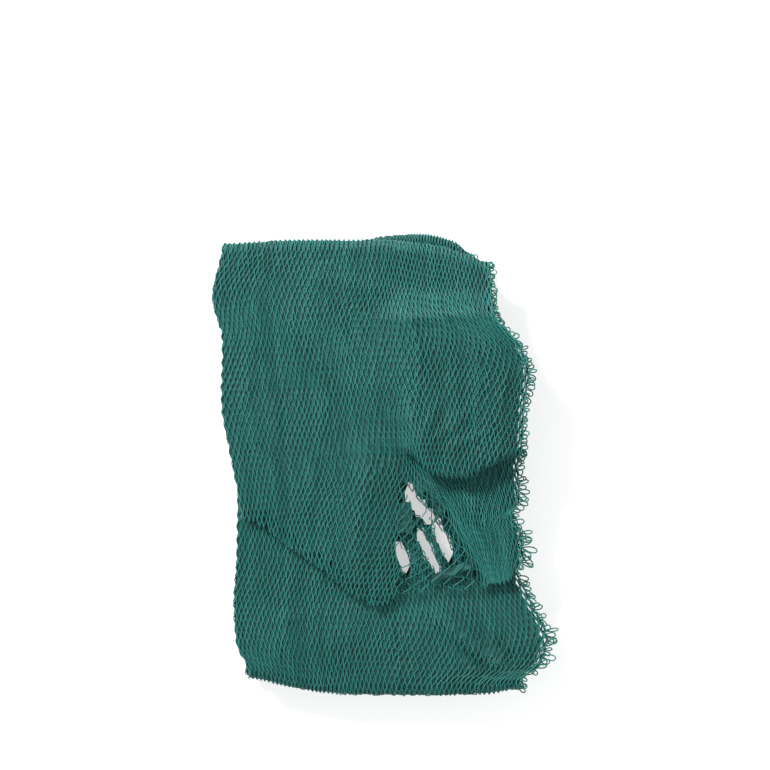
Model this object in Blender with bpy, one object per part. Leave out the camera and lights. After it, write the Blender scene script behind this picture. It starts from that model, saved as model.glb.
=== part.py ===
"""Fishing net: one square of fine netting, folded flat into a packet that lies on its back.

The netting is first folded lengthwise into a ribbon of pressed plies, then laid back and forth in passes.
Frame: +X across the packet, +Y along it, +Z up from the surface. Tables are in millimetres.
"""

import bpy
import numpy as np

# Driving dimensions, in millimetres.
PASSES = 6            # lengths of the ribbon, one over the other
RIBBON = 2.8          # thickness of the ribbon's pressed plies
PITCH = 3.9           # height from one pass to the next
SLIT_DEPTH = 60.0     # height of the slit cutters, more than the packet's
MM = 0.001

# How many sections each stretch takes, and where its columns stand across the ribbon.
PASS_ROWS = (6, 6, 6, 7, 11)
FOLD_ROWS = 6
BILLOW_ROWS = 13      # from the top fold to the billow's rim
TUCK_ROWS = 5         # each of the rim's two turns
TONGUE_ROWS = 6       # from the rim to the free end
COLUMNS = (0.0, 0.05, 0.13, 0.21, 0.29, 0.37, 0.45, 0.51, 0.55,
           0.58, 0.61, 0.645, 0.68, 0.73, 0.79, 0.86, 0.93, 1.0)
MIDDLE = 0.55         # the column that follows the tongue's right edge

# Fold lines. Each row: place across the ribbon, y of the fold's axis.
FOLD_LINES = (
    ((0.0, -99), (0.5, -101), (1.0, -96)),                                             # first free end
    ((0.0, 101), (0.4, 104), (1.0, 98)),
    ((0.0, -104), (0.5, -108), (1.0, -104)),
    ((0.0, 104), (0.4, 109), (0.55, 112.5), (0.7, 113.2), (0.88, 110), (1.0, 103)),   # behind the top edge
    ((0.0, -104.5), (0.18, -109.5), (0.4, -112.8), (0.6, -113.2), (0.88, -112.4), (1.0, -110)),
    ((0.0, 108), (0.25, 109.8), (0.55, 109.6), (0.8, 106.5), (0.9, 102.5), (1.0, 99)),
    ((0.0, -27), (0.18, -41), (0.32, -55), (0.44, -67), (0.52, -71), (0.58, -65), (0.68, -61),
     (0.93, -58), (1.0, -52)),                                                         # the tongue's free end
)

# Edges of the ribbon. Each row: pass, y there, x of the edge.
LEFT_EDGE = (
    (0, -99, -66), (0, 0, -69), (1, 60, -71), (1, -60, -68), (2, -60, -69), (2, 60, -73),
    (3, 60, -74), (3, -60, -70), (4, -104, -66.5), (4, -90, -72.5), (4, -70, -74), (4, -45, -72.5),
    (4, 0, -72), (4, 60, -75), (5, 105, -80), (5, 84, -84.4), (5, 62, -79.5), (5, 32, -80),
    (5, 5, -75.5), (5, -27, -70),
)
RIGHT_EDGE = (
    (0, -96, 62), (0, 0, 60), (1, 60, 52), (1, -60, 62), (2, -60, 64), (2, 60, 54),
    (3, 100, 46), (3, 40, 60), (3, -60, 64), (3, -100, 68), (4, -108, 70), (4, -100, 80), (4, -88, 83.5),
    (4, -68, 75), (4, -50, 67), (4, 0, 62), (4, 50, 64), (4, 95, 52), (5, 97, 55), (5, 77, 55.5),
    (5, 58, 70), (5, 45, 74), (5, 32, 71.5), (5, 8, 70), (5, 0, 68.5), (5, -8, 69), (5, -18, 69.5),
    (5, -25, 65), (5, -34, 70.5), (5, -47, 71.5), (5, -52, 70),
)
TONGUE_EDGE = (
    (0, -100, 8), (2, 0, 6), (4, -60, 5), (4, 60, 3), (5, 100, 0), (5, 58, 2.5), (5, 20, 7),
    (5, -15, 9), (5, -50, 6), (5, -66, 4),
)

# How far each pass follows the packet's undulation: nothing at the surface, all of it on top.
FOLLOW = (0.0, 0.08, 0.22, 0.42, 0.7, 1.0)

# Soft ridges. Each row: x, y, direction of the ridge in degrees from +X, half length, half width, height.
UNDULATION = (
    (40, 42, 84, 44, 30, 1.2),      # mound under the billow
    (-40, 40, 85, 60, 24, 1.2),     # mound under the left panel
    (-10, -88, 5, 60, 14, 1.6),     # lower panel's roll
    (52, -80, -35, 26, 8, 2.0),     # ridge running to the lower right corner
)
TONGUE_RIM = ((-5, 4, 87, 66, 11, 3.4),)
TOP_FOLDS = (
    (-40, 60, -52, 30, 6, 1.6),     # diagonal crease of the left panel
    (41, -28, -56, 32, 7, 2.0),     # flat band running down right
    (62, -5, -86, 26, 6, 2.0),      # bundle along the right edge
    (64, -42, -84, 13, 6, 2.0),
)
TONGUE_DROP = 3.0     # width over which the tongue falls to the valley

# The billow's rim turns under in a Z: a turn down, a straight run back, and a turn forward again.
# Each row: x, y of the Z's middle, angle of each turn in degrees, length of the straight run.
RIM = (
    (3, 9, 1, 2.0), (9, 7, 30, 2.5), (15, 5, 80, 3.0), (21, 3, 130, 4.5), (27, 1.5, 165, 7.5),
    (33, 0.5, 176, 8.5), (43, 0, 176, 8.5), (52, 2, 150, 6.0), (60, 4, 112, 4.0), (68, 6, 88, 3.5),
    (76, 8, 78, 3.0),
)
RIM_AT = 0.62         # how far down the top pass the rim stands, to read its x
TURN_RADIUS = 1.95    # of the ribbon's middle, in the Z
GENTLE_TURN = 0.7     # radians: smaller turns keep this one's length and get a larger radius
BILLOW_TOP = 80.0     # y where the billow folds down to the packet's top strip
BILLOW_TOP_DROP = 5.0
# Mound of the passes under the billow, as a soft ridge, and each pass's share of it.
BILLOW_CORE = ((44, 46, 86, 27, 20, 4.6),)
CORE_SHARE = (0.0, 0.08, 0.24, 0.5, 0.9, 0.0)

# Slits between parted strands, right through the packet. Each row: upper end x, y, lower end x, y, width.
SLITS = (
    (11.0, -9, 25.0, -30, 3.0),
    (18.5, -33, 29.5, -54, 2.6),
    (27.0, -29, 36.0, -50, 3.0),
    (7.5, -38, 14.0, -55, 2.6),
)
SLIT_SIDES = 8


def smooth(at, xs, ys):
    """A monotone cubic through a table's rows, held level past its ends."""
    xs, ys = np.asarray(xs, float), np.asarray(ys, float)
    at = np.clip(np.asarray(at, float), xs[0], xs[-1])
    step = np.diff(xs)
    rise = np.diff(ys) / step
    slope = np.zeros(len(xs))
    product = rise[:-1] * rise[1:]
    turning = product <= 0
    slope[1:-1] = np.where(turning, 0, 2 * product / np.where(turning, 1, rise[:-1] + rise[1:]))
    cell = np.clip(np.searchsorted(xs, at, side="right") - 1, 0, len(xs) - 2)
    t = (at - xs[cell]) / step[cell]
    start = ys[cell] * (1 + 2 * t) * (1 - t) ** 2 + step[cell] * slope[cell] * t * (1 - t) ** 2
    end = ys[cell + 1] * t * t * (3 - 2 * t) - step[cell] * slope[cell + 1] * t * t * (1 - t)
    return start + end


def fold_line(number, across):
    """y of one fold's axis, across the ribbon."""
    places, ys = zip(*FOLD_LINES[number])
    return smooth(across, places, ys)


def along_ribbon(table, across):
    """Changes an edge table's rows from (pass, y, x) to (distance along the ribbon in passes, x)."""
    rows = []
    for number, y, x in table:
        start, end = fold_line(number, across), fold_line(number + 1, across)
        rows.append((number + (y - start) / (end - start), x))
    return zip(*rows)


def ridges(table, x, y):
    """Height of a table of soft ridges at points of the packet."""
    height = np.zeros_like(x)
    for centre_x, centre_y, direction, half_length, half_width, rise in table:
        turn = np.radians(direction)
        lengthwise = (x - centre_x) * np.cos(turn) + (y - centre_y) * np.sin(turn)
        sideways = (y - centre_y) * np.cos(turn) - (x - centre_x) * np.sin(turn)
        height += rise * np.exp(-(lengthwise / half_length) ** 4 - (sideways / half_width) ** 2)
    return height


def step_up(value):
    """0 well below zero, 1 well above it."""
    return 0.5 + 0.5 * np.tanh(value)


def height(number, x, y):
    """Height of one pass's middle, without the top pass's billow."""
    z = RIBBON / 2 + number * PITCH + FOLLOW[number] * ridges(UNDULATION, x, y)
    return z + CORE_SHARE[number] * ridges(BILLOW_CORE, x, y)


def place_across(along, across):
    """x of points, from their distance along the ribbon in passes and their place across it."""
    left = smooth(along, *along_ribbon(LEFT_EDGE, 0.0))
    right = smooth(along, *along_ribbon(RIGHT_EDGE, 1.0))
    middle = smooth(along, *along_ribbon(TONGUE_EDGE, MIDDLE))
    left_part = left + (middle - left) * across / MIDDLE
    right_part = middle + (right - middle) * (across - MIDDLE) / (1 - MIDDLE)
    return np.where(across < MIDDLE, left_part, right_part), middle


def pass_row(number, way, across):
    """Middle points of one section of a plain pass, at a share of its length."""
    y = fold_line(number, across) * (1 - way) + fold_line(number + 1, across) * way
    x, _ = place_across(number + way, across)
    return np.stack([x, y, height(number, x, y)], axis=-1)


def fold_rows(low, high, outward):
    """Half a turn from one pass's last section up to the next pass's first."""
    middle, reach = (low + high) / 2, (high[:, 2] - low[:, 2]) / 2
    rows = []
    for turn in np.linspace(0, np.pi, FOLD_ROWS + 1)[1:-1]:
        row = middle.copy()
        row[:, 1] += outward * reach * np.sin(turn)
        row[:, 2] -= reach * np.cos(turn)
        rows.append(row)
    return rows


def tuck_path(angle, run):
    """The Z under the billow's rim as (forward, down) from its start, one row for each of its sections."""
    radius = TURN_RADIUS * np.maximum(angle, GENTLE_TURN) / angle
    rows = []
    for way in np.linspace(0, 1, TUCK_ROWS):
        rows.append((radius * np.sin(angle * way), radius * (1 - np.cos(angle * way))))
    forward = rows[-1][0] + run * np.cos(angle) + radius * np.sin(angle)
    down = rows[-1][1] + run * np.sin(angle) - radius * np.cos(angle)
    for rest in np.linspace(1, 0, TUCK_ROWS):
        rows.append((forward - radius * np.sin(angle * rest), down + radius * np.cos(angle * rest)))
    return np.array(rows)


def top_rows(across):
    """Sections of the top pass: the billow, the Z under its rim, then the lower part with the tongue."""
    number = PASSES - 1
    start, end = fold_line(number, across), fold_line(number + 1, across)
    rim_x, rim_y, rim_angle, rim_run = zip(*RIM)
    x, _ = place_across(number + RIM_AT, across)
    path = tuck_path(np.radians(smooth(x, rim_x, rim_angle)), smooth(x, rim_x, rim_run))
    advance, drop = path[-1]
    first_y = smooth(x, rim_x, rim_y) + advance / 2
    last_y = first_y - advance
    stations = []
    for way in np.linspace(0, 1, BILLOW_ROWS + 1)[:-1]:
        stations.append((start * (1 - way) + first_y * way, drop))
    for forward, down in path:
        stations.append((first_y - forward, drop - down))
    for way in np.linspace(0, 1, TONGUE_ROWS + 1)[1:]:
        stations.append((last_y * (1 - way) + end * way, 0 * drop))
    rows = []
    for y, lift in stations:
        x, tongue_edge = place_across(number + (start - y) / (start - end), across)
        past_tongue = np.maximum(x - tongue_edge, 0)
        z = height(number, x, y) + lift * step_up((BILLOW_TOP - y) / BILLOW_TOP_DROP)
        z += ridges(TONGUE_RIM, x, y) * np.exp(-(past_tongue / TONGUE_DROP) ** 2)
        z += ridges(TOP_FOLDS, x, y)
        rows.append(np.stack([x, y, z], axis=-1))
    return rows


def ribbon_sections():
    """Rows of middle points along the whole ribbon, from the first free end to the tongue's."""
    across = np.array(COLUMNS)
    rows = []
    for number, count in enumerate(PASS_ROWS):
        rows += [pass_row(number, way, across) for way in np.linspace(0, 1, count + 1)]
        after = pass_row(number + 1, 0.0, across)
        if number == PASSES - 2:
            after = top_rows(across)[0]
        rows += fold_rows(rows[-1], after, 1 if number % 2 == 0 else -1)
    return np.array(rows + top_rows(across))


def mesh_object(name, points, faces, material=None):
    mesh = bpy.data.meshes.new(name)
    mesh.from_pydata([tuple(point) for point in points * MM], [], faces)
    mesh.validate()
    made = bpy.data.objects.new(name, mesh)
    bpy.context.scene.collection.objects.link(made)
    if material:
        mesh.materials.append(material)
    return made


def thick_ribbon(material):
    """The ribbon as a closed solid: its middle surface moved half its thickness both ways."""
    middle = ribbon_sections()
    normal = np.cross(np.gradient(middle, axis=1), np.gradient(middle, axis=0))
    normal /= np.linalg.norm(normal, axis=-1, keepdims=True)
    offset = normal * RIBBON / 2
    rows, columns = middle.shape[:2]
    points = np.concatenate([(middle + offset).reshape(-1, 3), (middle - offset).reshape(-1, 3)])
    last_row, last_column = rows - 1, columns - 1

    def at(row, column, side):
        return side * rows * columns + row * columns + column

    faces = []
    for row in range(last_row):
        after = row + 1
        for column in range(last_column):
            beside = column + 1
            for side in (0, 1):
                near = (at(row, column, side), at(row, beside, side))
                far = (at(after, beside, side), at(after, column, side))
                faces.append(near + far if side == 0 else (near + far)[::-1])
        faces.append((at(row, 0, 0), at(after, 0, 0), at(after, 0, 1), at(row, 0, 1)))
        edge = (at(row, last_column, 0), at(after, last_column, 0))
        faces.append(edge[::-1] + (at(row, last_column, 1), at(after, last_column, 1)))
    for column in range(last_column):
        beside = column + 1
        faces.append((at(0, beside, 0), at(0, column, 0), at(0, column, 1), at(0, beside, 1)))
        edge = (at(last_row, column, 0), at(last_row, beside, 0))
        faces.append(edge + (at(last_row, beside, 1), at(last_row, column, 1)))
    centre = (points.max(axis=0) + points.min(axis=0)) / 2
    points -= (centre[0], centre[1], points[:, 2].min())
    return mesh_object("netting", points, faces, material)


def slit_cutter(number, x0, y0, x1, y1, width):
    """A lens-shaped prism, wide in its middle and pointed at both ends."""
    start, end = np.array((x0, y0), float), np.array((x1, y1), float)
    along = end - start
    sideways = np.array((-along[1], along[0])) / np.linalg.norm(along)
    way = np.linspace(0, 1, SLIT_SIDES // 2 + 1)
    bulge = np.sin(np.pi * way)[:, None] * sideways * width / 2
    spine = start + way[:, None] * along
    outline = np.concatenate([spine + bulge, (spine - bulge)[-2:0:-1]])
    low = np.column_stack([outline, np.full(len(outline), -10.0)])
    high = np.column_stack([outline, np.full(len(outline), SLIT_DEPTH - 10.0)])
    count = len(outline)
    faces = [tuple(range(count)), tuple(count + i for i in reversed(range(count)))]
    for i in range(count):
        after = (i + 1) % count
        faces.append((i, i + count, after + count, after))
    cutter = mesh_object(f"slit_cutter_{number}", np.concatenate([low, high]), faces)
    cutter.hide_render = True
    cutter.display_type = "WIRE"
    return cutter


def netting_material():
    material = bpy.data.materials.new("green_netting")
    material.use_nodes = True
    shader = material.node_tree.nodes["Principled BSDF"]
    shader.inputs["Base Color"].default_value = (0.024, 0.133, 0.101, 1)
    shader.inputs["Roughness"].default_value = 0.55
    shader.inputs["Metallic"].default_value = 0.0
    return material


def main():
    for thing in list(bpy.data.objects):
        bpy.data.objects.remove(thing)
    netting = thick_ribbon(netting_material())
    for number, slit in enumerate(SLITS, start=1):
        cut = netting.modifiers.new(f"slit {number}", "BOOLEAN")
        cut.operation = "DIFFERENCE"
        cut.object = slit_cutter(number, *slit)


main()
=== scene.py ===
# %% [markdown]
# # A fishing net, folded into a packet
#
# The real thing is one square of fine knotless netting, about a metre each way. It is folded lengthwise
# into four plies, which makes a long ribbon, and the ribbon is laid back and forth in six passes. This
# lesson builds that packet: first the ribbon's folds as plain formulas, then the cloth that follows them,
# then the twines that make its meshes, and at last the looped selvedge, the finishes and the light.
#
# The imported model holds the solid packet. It is the frame for every piece here, and the cloth replaces it.

import bpy
import numpy as np
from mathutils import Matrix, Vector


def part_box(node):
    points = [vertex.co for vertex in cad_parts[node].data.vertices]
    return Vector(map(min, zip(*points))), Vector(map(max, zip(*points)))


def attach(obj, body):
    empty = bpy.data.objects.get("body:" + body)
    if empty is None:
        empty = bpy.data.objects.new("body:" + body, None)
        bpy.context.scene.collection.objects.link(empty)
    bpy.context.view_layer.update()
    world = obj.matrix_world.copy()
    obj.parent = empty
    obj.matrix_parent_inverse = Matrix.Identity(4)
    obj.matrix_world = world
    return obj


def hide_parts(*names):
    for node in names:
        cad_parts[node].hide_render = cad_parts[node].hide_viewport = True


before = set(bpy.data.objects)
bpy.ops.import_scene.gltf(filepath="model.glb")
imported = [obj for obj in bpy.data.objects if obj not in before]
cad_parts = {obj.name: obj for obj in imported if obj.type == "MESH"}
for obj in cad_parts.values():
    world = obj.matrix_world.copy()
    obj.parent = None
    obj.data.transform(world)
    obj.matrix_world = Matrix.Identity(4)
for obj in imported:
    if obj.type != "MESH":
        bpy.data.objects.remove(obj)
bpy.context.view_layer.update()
packet_low, packet_high = (np.array(corner) * 1000 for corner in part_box("netting"))
print("packet, mm:", packet_low.round(1), packet_high.round(1))

# %% [markdown]
# ## The camera
#
# A folded net is shown flat on its back, so the camera looks straight down on it. A wide lens close by
# would show the packet's sides and make its middle bulge, so this is a long lens from more than a metre.
# The camera's up is the packet's own +Y.

# %% Camera straight above
CAMERA_OVER = (0.0025, 0.040)     # the point of the surface under the camera, metres
CAMERA_HEIGHT = 1.25
NETTING_HEIGHT = 0.02             # where the view's width is measured, above the surface
VIEW_SIDE = 0.385                 # width of what the picture takes in, at that height
SENSOR = 36.0                     # width of the camera's sensor, millimetres

camera_data = bpy.data.cameras.new("overhead_camera")
camera_data.sensor_width = SENSOR
camera_data.lens = SENSOR * (CAMERA_HEIGHT - NETTING_HEIGHT) / VIEW_SIDE
camera = bpy.data.objects.new("overhead_camera", camera_data)
camera.location = (*CAMERA_OVER, CAMERA_HEIGHT)
bpy.context.scene.collection.objects.link(camera)
bpy.context.scene.camera = camera
print("lens", round(camera_data.lens, 1), "mm")

# %% [markdown]
# ## The ribbon's folds, as tables
#
# A folded cloth could be sculpted, or dropped by a cloth simulation. Neither gives straight folds in
# chosen places, so this packet is described as the path of one ribbon. Fold lines say where each pass
# turns back, edge tables say how wide the ribbon lies there, and a few soft ridges say how the packet
# swells. All are in millimetres, with X across the packet, Y along it and Z up.

# %% Sizes of the folded ribbon
MM = 0.001
PASSES = 6            # lengths of the ribbon, one over the other
RIBBON = 2.8          # thickness of the four pressed plies
PITCH = 3.9           # height from one pass to the next
MIDDLE = 0.55         # share of the ribbon's width at the tongue's right edge

# Each fold's axis. Rows: share across the ribbon, y.
FOLD_LINES = (
    ((0.0, -99), (0.5, -101), (1.0, -96)),
    ((0.0, 101), (0.4, 104), (1.0, 98)),
    ((0.0, -104), (0.5, -108), (1.0, -104)),
    ((0.0, 104), (0.4, 109), (0.55, 112.5), (0.7, 113.2), (0.88, 110), (1.0, 103)),
    ((0.0, -104.5), (0.18, -109.5), (0.4, -112.8), (0.6, -113.2), (0.88, -112.4), (1.0, -110)),
    ((0.0, 108), (0.25, 109.8), (0.55, 109.6), (0.8, 106.5), (0.9, 102.5), (1.0, 99)),
    ((0.0, -27), (0.18, -41), (0.32, -55), (0.44, -67), (0.52, -71), (0.58, -65), (0.68, -61),
     (0.93, -58), (1.0, -52)),
)

# Edges of the ribbon. Rows: pass, y there, x of the edge.
LEFT_EDGE = (
    (0, -99, -66), (0, 0, -69), (1, 60, -71), (1, -60, -68), (2, -60, -69), (2, 60, -73),
    (3, 60, -74), (3, -60, -70), (4, -104, -66.5), (4, -90, -72.5), (4, -70, -74), (4, -45, -72.5),
    (4, 0, -72), (4, 60, -75), (5, 105, -80), (5, 84, -84.4), (5, 62, -79.5), (5, 32, -80),
    (5, 5, -75.5), (5, -27, -70),
)
RIGHT_EDGE = (
    (0, -96, 62), (0, 0, 60), (1, 60, 52), (1, -60, 62), (2, -60, 64), (2, 60, 54),
    (3, 100, 46), (3, 40, 60), (3, -60, 64), (3, -100, 68), (4, -108, 70), (4, -100, 80), (4, -88, 83.5),
    (4, -68, 75), (4, -50, 67), (4, 0, 62), (4, 50, 64), (4, 95, 52), (5, 97, 55), (5, 77, 55.5),
    (5, 58, 70), (5, 45, 74), (5, 32, 71.5), (5, 8, 70), (5, 0, 68.5), (5, -8, 69), (5, -18, 69.5),
    (5, -25, 65), (5, -34, 70.5), (5, -47, 71.5), (5, -52, 70),
)
TONGUE_EDGE = (
    (0, -100, 8), (2, 0, 6), (4, -60, 5), (4, 60, 3), (5, 100, 0), (5, 58, 2.5), (5, 20, 7),
    (5, -15, 9), (5, -50, 6), (5, -66, 4),
)

# How far each pass follows the packet's undulation, and the mound under the billow.
FOLLOW = (0.0, 0.08, 0.22, 0.42, 0.7, 1.0)
CORE_SHARE = (0.0, 0.08, 0.24, 0.5, 0.9, 0.0)

# Soft ridges. Rows: x, y, direction in degrees from +X, half length, half width, height.
UNDULATION = (
    (40, 42, 84, 44, 30, 1.2),
    (-40, 40, 85, 60, 24, 1.2),
    (-10, -88, 5, 60, 14, 1.6),
    (52, -80, -35, 26, 8, 2.0),
)
BILLOW_CORE = ((44, 46, 86, 27, 20, 4.6),)
TONGUE_RIM = ((-5, 4, 87, 66, 11, 3.4),)
TOP_FOLDS = (
    (-40, 60, -52, 30, 6, 1.6),
    (41, -28, -56, 32, 7, 2.0),
    (62, -5, -86, 26, 6, 2.0),
    (64, -42, -84, 13, 6, 2.0),
)
TONGUE_DROP = 3.0

# The billow's rim turns under in a Z. Rows: x, y of its middle, degrees of each turn, length of the run back.
RIM = (
    (3, 9, 1, 2.0), (9, 7, 30, 2.5), (15, 5, 80, 3.0), (21, 3, 130, 4.5), (27, 1.5, 165, 7.5),
    (33, 0.5, 176, 8.5), (43, 0, 176, 8.5), (52, 2, 150, 6.0), (60, 4, 112, 4.0), (68, 6, 88, 3.5),
    (76, 8, 78, 3.0),
)
RIM_AT = 0.62
TURN_RADIUS = 1.95
GENTLE_TURN = 0.7
BILLOW_TOP = 80.0
BILLOW_TOP_DROP = 5.0
print(PASSES, "passes of a ribbon", RIBBON, "mm thick,", PITCH, "mm apart")

# %% [markdown]
# ## From tables to a surface
#
# A monotone cubic runs through each table without overshooting its rows, which keeps edges from bulging
# where the table is level. The ribbon then is a function: give it a distance along the ribbon and a share
# across it, and it gives a point. Half circles join the passes, and two arcs with a straight run between
# them make the Z under the billow.

# %% Helpers that read the tables
def smooth(at, xs, ys):
    """A monotone cubic through a table's rows, held level past its ends."""
    xs, ys = np.asarray(xs, float), np.asarray(ys, float)
    at = np.clip(np.asarray(at, float), xs[0], xs[-1])
    step = np.diff(xs)
    rise = np.diff(ys) / step
    slope = np.zeros(len(xs))
    product = rise[:-1] * rise[1:]
    turning = product <= 0
    slope[1:-1] = np.where(turning, 0, 2 * product / np.where(turning, 1, rise[:-1] + rise[1:]))
    cell = np.clip(np.searchsorted(xs, at, side="right") - 1, 0, len(xs) - 2)
    t = (at - xs[cell]) / step[cell]
    start = ys[cell] * (1 + 2 * t) * (1 - t) ** 2 + step[cell] * slope[cell] * t * (1 - t) ** 2
    end = ys[cell + 1] * t * t * (3 - 2 * t) - step[cell] * slope[cell + 1] * t * t * (1 - t)
    return start + end


def fold_line(number, across):
    """y of one fold's axis, across the ribbon."""
    places, ys = zip(*FOLD_LINES[number])
    return smooth(across, places, ys)


def along_ribbon(table, across):
    """An edge table as (distances along the ribbon in passes, x values)."""
    rows = []
    for number, y, x in table:
        start, end = fold_line(number, across), fold_line(number + 1, across)
        rows.append((number + (y - start) / (end - start), x))
    return list(zip(*rows))


LEFT_ROWS, RIGHT_ROWS = along_ribbon(LEFT_EDGE, 0.0), along_ribbon(RIGHT_EDGE, 1.0)
TONGUE_ROWS = along_ribbon(TONGUE_EDGE, MIDDLE)


def place_across(passes_along, across):
    """x of points, and x of the tongue's edge beside them."""
    left, right = smooth(passes_along, *LEFT_ROWS), smooth(passes_along, *RIGHT_ROWS)
    tongue = smooth(passes_along, *TONGUE_ROWS)
    left_part = left + (tongue - left) * across / MIDDLE
    right_part = tongue + (right - tongue) * (across - MIDDLE) / (1 - MIDDLE)
    return np.where(across < MIDDLE, left_part, right_part), tongue


def ridges(table, x, y):
    """Height of a table of soft ridges."""
    height = np.zeros_like(x)
    for centre_x, centre_y, direction, half_length, half_width, rise in table:
        turn = np.radians(direction)
        lengthwise = (x - centre_x) * np.cos(turn) + (y - centre_y) * np.sin(turn)
        sideways = (y - centre_y) * np.cos(turn) - (x - centre_x) * np.sin(turn)
        height += rise * np.exp(-(lengthwise / half_length) ** 4 - (sideways / half_width) ** 2)
    return height


def step_up(value):
    """0 well below zero, 1 well above it."""
    return 0.5 + 0.5 * np.tanh(value)


print("edge rows, left, right and tongue:", len(LEFT_EDGE), len(RIGHT_EDGE), len(TONGUE_EDGE))


# %% One plain pass, one fold, and the top pass
def pass_height(number, x, y):
    z = RIBBON / 2 + number * PITCH + FOLLOW[number] * ridges(UNDULATION, x, y)
    return z + CORE_SHARE[number] * ridges(BILLOW_CORE, x, y)


def plain_pass(number, way, across):
    """Points of a pass, at shares of its length."""
    y = fold_line(number, across) * (1 - way) + fold_line(number + 1, across) * way
    x, _ = place_across(number + way, across)
    return np.stack([x, y, pass_height(number, x, y)], axis=-1)


def top_pass(walked, across):
    """Points of the top pass, at distances walked from its fold over the billow, the Z and the tongue.

    Also gives how far each point is from the free end, and whether it lies past the Z.
    """
    number = PASSES - 1
    start, end = fold_line(number, across), fold_line(number + 1, across)
    rim_x, rim_y, rim_angle, rim_run = zip(*RIM)
    x, _ = place_across(number + RIM_AT, across)
    angle, run = np.radians(smooth(x, rim_x, rim_angle)), smooth(x, rim_x, rim_run)
    radius = TURN_RADIUS * np.maximum(angle, GENTLE_TURN) / angle
    turn = radius * angle
    advance = 2 * radius * np.sin(angle) + run * np.cos(angle)
    drop = 2 * radius * (1 - np.cos(angle)) + run * np.sin(angle)
    first_y = smooth(x, rim_x, rim_y) + advance / 2
    past = walked - (start - first_y)
    first_turn = np.clip(past, 0, turn) / radius
    back = np.clip(past - turn, 0, run)
    last_turn = angle - np.clip(past - turn - run, 0, turn) / radius
    turning_back = past > turn + run
    forward = np.minimum(past, 0) + radius * np.sin(first_turn) + back * np.cos(angle)
    forward += np.where(turning_back, radius * (np.sin(angle) - np.sin(last_turn)), 0)
    forward += np.maximum(past - 2 * turn - run, 0)
    down = radius * (1 - np.cos(first_turn)) + back * np.sin(angle)
    down += np.where(turning_back, radius * (np.cos(last_turn) - np.cos(angle)), 0)
    y = first_y - forward
    x, tongue = place_across(number + (start - y) / (start - end), across)
    z = pass_height(number, x, y) + (drop - down) * step_up((BILLOW_TOP - y) / BILLOW_TOP_DROP)
    past_tongue = np.maximum(x - tongue, 0)
    z += ridges(TONGUE_RIM, x, y) * np.exp(-(past_tongue / TONGUE_DROP) ** 2)
    z += ridges(TOP_FOLDS, x, y)
    return np.stack([x, y, z], axis=-1), y - end, past > turn + run / 2


def turn_between(low, high, turned, outward):
    """Points of the half circle that joins two passes; turned runs from 0 to 1."""
    reach = (high[..., 2] - low[..., 2]) / 2
    point = (low + high) / 2
    point[..., 1] += outward * reach * np.sin(np.pi * turned)
    point[..., 2] -= reach * np.cos(np.pi * turned)
    return point


# %% Lengths along the ribbon
TURN_LENGTH = np.pi * PITCH / 2
PASS_LENGTHS = [
    float(np.mean(np.abs(fold_line(n + 1, np.linspace(0, 1, 9)) - fold_line(n, np.linspace(0, 1, 9)))))
    for n in range(PASSES - 1)
]
PASS_STARTS = [sum(PASS_LENGTHS[:n]) + n * TURN_LENGTH for n in range(PASSES)]
TOP_LENGTH = 204.0    # longest walk down the top pass, with the Z
RIBBON_LENGTH = PASS_STARTS[-1] + TOP_LENGTH
FAR_FROM_END = 99.0   # stands for any distance on the passes below the top one
print("pass starts, mm:", np.round(PASS_STARTS, 1), "ribbon length", round(RIBBON_LENGTH))


def ribbon(along, across):
    """Points of the ribbon's middle, their distance to its free end, and whether each lies past the Z."""
    along, across = np.broadcast_arrays(np.asarray(along, float), np.asarray(across, float))
    point = np.zeros(along.shape + (3,))
    to_end = np.full(along.shape, FAR_FROM_END)
    under_rim = np.zeros(along.shape, bool)
    for number in range(PASSES):
        start = PASS_STARTS[number]
        stop = start + (PASS_LENGTHS[number] if number < PASSES - 1 else 2 * TOP_LENGTH)
        here = (along >= start) & (along < stop)
        if number == 0:
            here |= along < start
        if number == PASSES - 1:
            point[here], to_end[here], under_rim[here] = top_pass(along[here] - start, across[here])
            continue
        way = (along[here] - start) / PASS_LENGTHS[number]
        point[here] = plain_pass(number, way, across[here])
        here = (along >= stop) & (along < stop + TURN_LENGTH)
        low = plain_pass(number, 1.0, across[here])
        if number < PASSES - 2:
            high = plain_pass(number + 1, 0.0, across[here])
        else:
            high = top_pass(0.0, across[here])[0]
        outward = 1 if number % 2 == 0 else -1
        point[here] = turn_between(low, high, (along[here] - stop) / TURN_LENGTH, outward)
    return point, to_end, under_rim


# %% [markdown]
# ## Slits and pulled strands
#
# Where the netting is pulled sideways its strands part, and the gap goes right through the packet. A
# Boolean cut would only punch a hole and bunch nothing up. So each slit is a lens round a short line, and
# points near the line are pushed away from it until the strands crowd along both sides. The stretches of
# twine that would still cross a slit are left out later, apart from a tenth of them on the top ply. Below
# the billow the strands also run at a slant, from the pinch at its left end down to the lower right.

# %% Moves that pull the strands about
# Slits. Rows: upper end x, y, lower end x, y, width.
SLITS = (
    (11.0, -9, 25.0, -30, 3.4),
    (18.5, -33, 29.5, -54, 3.0),
    (27.0, -29, 36.0, -50, 3.4),
    (7.5, -38, 14.0, -55, 3.0),
)
SLIT_REACH = 6.0      # width of netting that bunches up beside a slit
PINCH = (17.0, 3.0)   # where the billow's strands gather
PINCH_REACH = (18.0, 15.0)
PINCH_PULL = 0.38
SLANT = 0.5           # sideways run of the strands under the billow, for each millimetre down
SLANT_DEPTH = 60      # how far below the pinch the slant still grows
SLANT_LEFT = (9, 10)  # x where the slant sets in, and how gradually
SLANT_RIGHT = (66, 44)
SLIT_ENDS = (0.02, 0.98)
DEEP_SLITS_WIDER = 0.8
print(len(SLITS), "slits, the widest", max(slit[-1] for slit in SLITS), "mm")


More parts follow.
